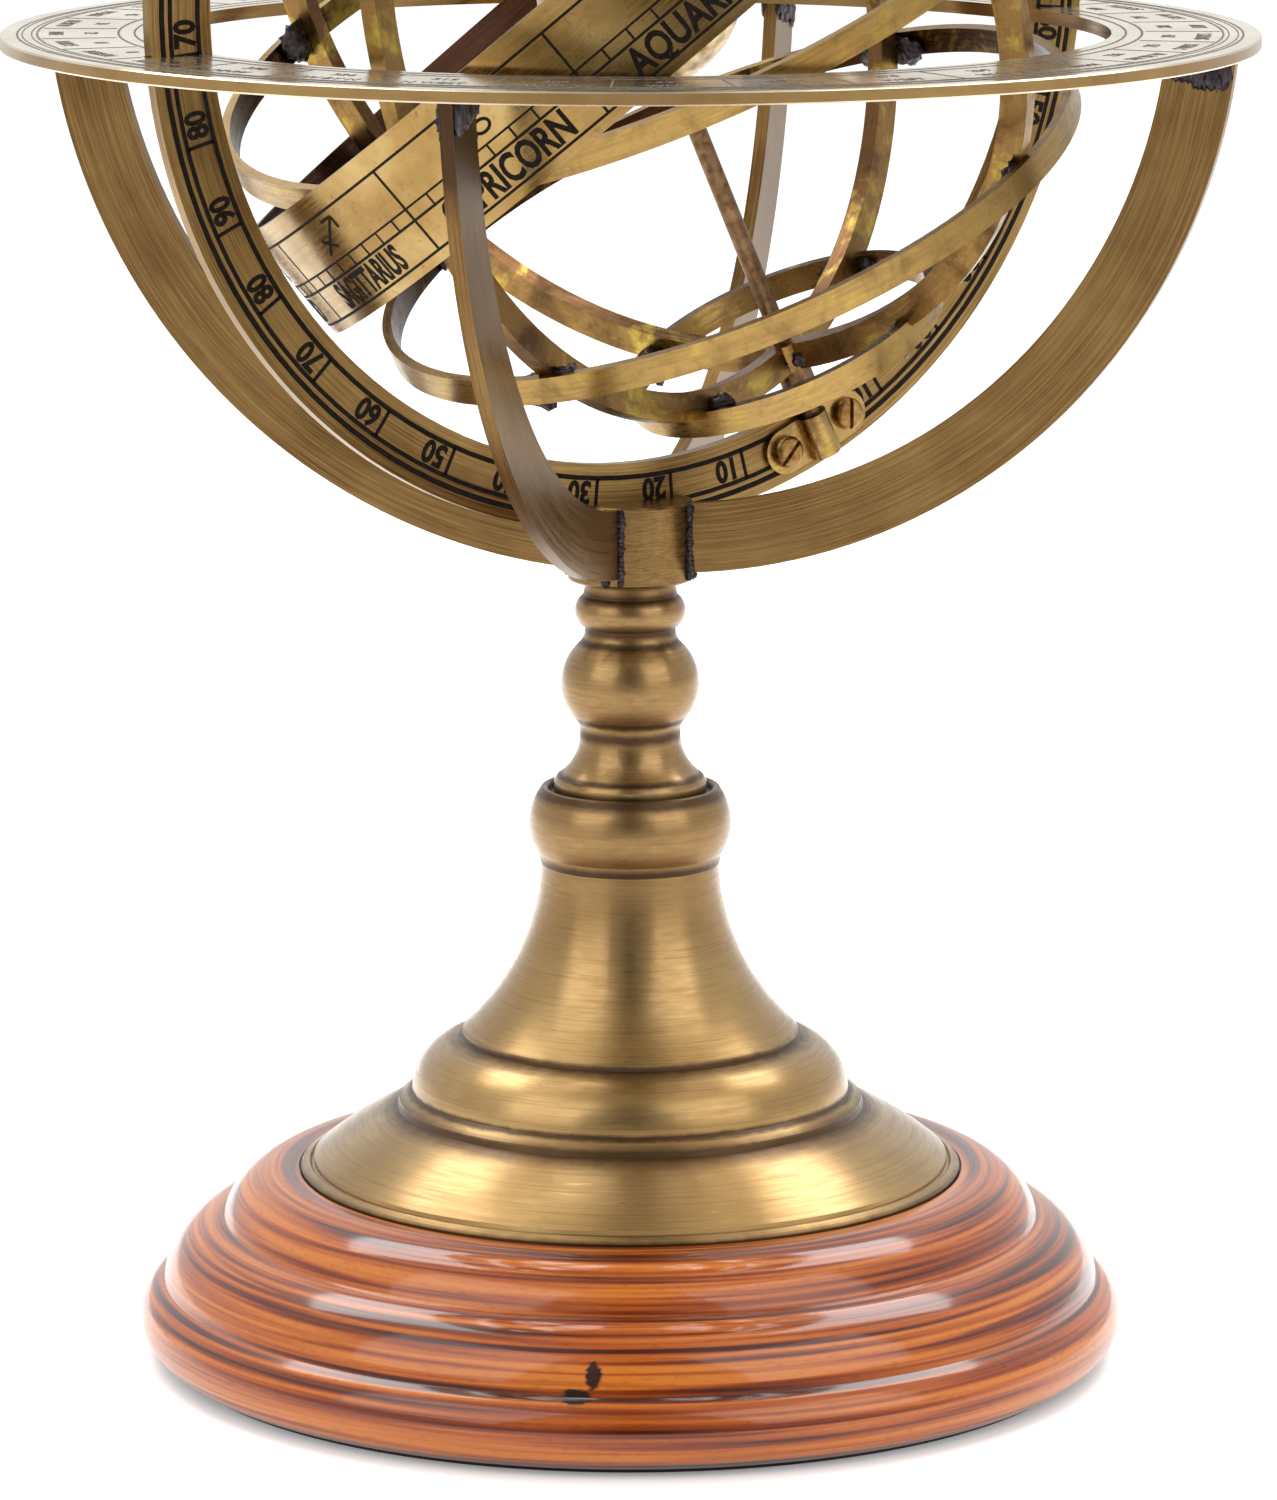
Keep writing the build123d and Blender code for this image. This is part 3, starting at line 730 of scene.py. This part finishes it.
def add_solder(name, body, build, *replaced):
    """Collect lumps in one piece, which may replace CAD nodes."""
    target = bmesh.new()
    build(target)
    mesh = bpy.data.meshes.new(name)
    target.to_mesh(mesh)
    target.free()
    for face in mesh.polygons:
        face.use_smooth = True
    piece = add_piece(name, mesh, body, solder_metal)
    if replaced:
        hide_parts(*replaced)


def hub_seams(target):
    """Solder up both corners between each arm and the hub."""
    margin = 0.6 * mm
    for number, bearing in enumerate(arm_bearings.values()):
        outwards, sideways = arm_directions(bearing)
        for side in (-1, 1):
            corner = outwards * (hub_radius + 0.1 * mm)
            corner += sideways * side * (arm_half_thickness + 0.2 * mm)
            bead(target, corner + up * (hub_low.z + margin), corner + up * (hub_high.z - margin),
                 0.8 * mm, 10 * number + side)


def horizon_seams(target):
    """Solder run down the top of each arm's sides, deepest at the outer end."""
    lumps = 9
    reach = arm_top_outer - arm_top_inner - 1.2 * mm
    for number, bearing in enumerate(arm_bearings.values()):
        outwards, sideways = arm_directions(bearing)
        turned = Matrix((outwards, sideways, up)).transposed()
        for side in (-1, 1):
            for i in range(lumps):
                along = (i + 0.5) / lumps
                depth = (2.0 + 1.7 * along * random.uniform(0.6, 1.1)) * mm
                at = outwards * (arm_top_inner + along * reach)
                at += sideways * side * arm_half_thickness + up * (horizon_foot - 0.75 * depth)
                lump(target, at, (1.4 * mm, 0.9 * mm, depth), turned, 0.45,
                     50 + 20 * number + 3 * side + i)


def cage_lumps(target):
    """Blobs inside each crossing of a hoop and a colure, and round the pole bosses."""
    seed = 100
    for radius, height in hoops.values():
        for quarter in range(4):
            ray = polar(1, quarter * 90)
            beside = polar(1, quarter * 90 + 90)
            for side in (-1, 1):
                seed += 1
                size = random.uniform(1.6, 2.7) * mm
                reach = radius * mm - hoop_thickness - 0.45 * size
                sway = side * (colure_half_thickness + 0.6 * size)
                lift = height * mm + random.uniform(-1.0, 1.0) * mm
                at = (ray * reach + beside * sway).to_3d() + up * lift
                local = Matrix((ray.to_3d(), beside.to_3d(), up)).transposed()
                lump(target, celestial_axes @ at, (0.7 * size, 1.5 * size, 1.3 * size),
                     celestial_axes.to_3x3() @ local, 0.55, seed)
    for pole in (-1, 1):
        for turn in range(5):
            seed += 1
            spot = polar(3.3 * mm, turn * 72 + 20)
            at = spot.to_3d() + up * pole * (colure_outer - 2.2 * mm)
            size = random.uniform(1.1, 1.9) * mm
            lump(target, celestial_axes @ at, (size, size, size), rough=0.5, seed=seed)


def band_lumps(target):
    """Solder between the zodiac band and the solstitial colure."""
    for number, side in enumerate((-1, 1)):
        for i in range(3):
            at = Vector((side * (colure_outer + 0.9 * mm), (i - 1) * 1.3 * mm, (i % 2) * 1.1 * mm))
            lump(target, ecliptic_axes @ at, (1.3 * mm, 1.6 * mm, 1.9 * mm),
                 ecliptic_axes.to_3x3(), 0.4, 300 + 10 * number + i)


add_solder("hub_solder", "stand", hub_seams)
add_solder("horizon_solder", "stand", horizon_seams)
add_solder("cage_solder", "celestial_cage", cage_lumps)
add_solder("band_solder", "celestial_cage", band_lumps, "band_joints")

# ---- floor, light and camera --------------------------------------------------------

camera_bearing = radians(-32)
camera_distance = 1.3
camera_height = 0.363
camera_pitch = 0.190
towards_camera = Vector((sin(camera_bearing), -cos(camera_bearing), 0))

floor_reach = 6
floor_level = -0.2 * mm
floor_mesh = bpy.data.meshes.new("floor")
floor_mesh.from_pydata([(x * floor_reach, y * floor_reach, floor_level)
                        for x, y in ((-1, -1), (1, -1), (1, 1), (-1, 1))], [], [(0, 1, 2, 3)])
floor_paint = Paint("floor_paint", Emission_Color=(1, 1, 1, 1), Emission_Strength=0.2)
haze = floor_paint.grain(floor_paint.position, 3, 2.0)
floor_colour = floor_paint.ramp(haze, (0.3, (0.93, 0.93, 0.93, 1)), (0.7, (0.96, 0.96, 0.96, 1)))
floor_mesh.materials.append(floor_paint.finish(floor_colour, 0.6))
floor = bpy.data.objects.new("floor", floor_mesh)
bpy.context.scene.collection.objects.link(floor)


light_target = Vector((0, 0, 0.15))


def softbox(name, bearing, height, distance, size, watts):
    """A soft rectangular light that looks at the object; the bearing counts from the camera's."""
    light = bpy.data.lights.new(name, "AREA")
    light.shape = "RECTANGLE"
    light.size, light.size_y = size
    light.energy = watts
    lamp = bpy.data.objects.new(name, light)
    turn = camera_bearing + radians(bearing)
    lamp.location = (distance * sin(turn), -distance * cos(turn), height)
    aim = light_target - lamp.location
    lamp.rotation_euler = aim.to_track_quat("-Z", "Y").to_euler()
    bpy.context.scene.collection.objects.link(lamp)


for name, side in (("left", -1), ("right", 1)):
    softbox(f"{name}_light", 50 * side, height=1.0, distance=1.3, size=(1.2, 1.3), watts=9)
    softbox(f"{name}_top_light", 134 * side, height=1.5, distance=0.8, size=(0.8, 1.0), watts=15)

# The camera sees a white room. The metal sees it dimmer on the camera's side, with a dark
# upright gap that runs from there over the top and fades out behind the object.
room_tones = ((0, 0.95), (0.35, 1.0), (0.62, 0.9), (0.78, 0.75), (0.9, 0.55), (0.97, 0.35),
              (1, 0.15))
world = bpy.data.worlds.new("studio")
bpy.context.scene.world = world
room = Tree(world)
direction = room.nodes.new("ShaderNodeTexCoord").outputs["Generated"]
ahead = room.vector_calc("DOT_PRODUCT", direction, towards_camera)
tone = room.ramp(room.spread(ahead, -1.0, 1.0),
                 *((place, (value, value, value, 1)) for place, value in room_tones))
aside = room.vector_calc("DOT_PRODUCT", direction, towards_camera.cross(up))
gap = room.spread(room.calc("ABSOLUTE", aside), 0.0, 0.25, 0.35, 1.0, "SMOOTHSTEP")
behind = room.spread(ahead, -0.2, -0.6)
tone = room.calc("MULTIPLY", tone, room.calc("MAXIMUM", gap, behind))
seen = room.nodes.new("ShaderNodeLightPath").outputs["Is Camera Ray"]
room.put(room.blend(seen, tone, (1, 1, 1, 1)), room.nodes["Background"].inputs["Color"])

lens = bpy.data.cameras.new("camera")
lens.lens = 172.1
lens.sensor_width = 36
lens.shift_x = 0.0055
camera = bpy.data.objects.new("camera", lens)
camera.location = towards_camera * camera_distance + up * camera_height
aim = -towards_camera * cos(camera_pitch) - up * sin(camera_pitch)
camera.rotation_euler = aim.to_track_quat("-Z", "Y").to_euler()
bpy.context.scene.collection.objects.link(camera)
bpy.context.scene.camera = camera
bpy.context.scene.view_settings.view_transform = "Standard"
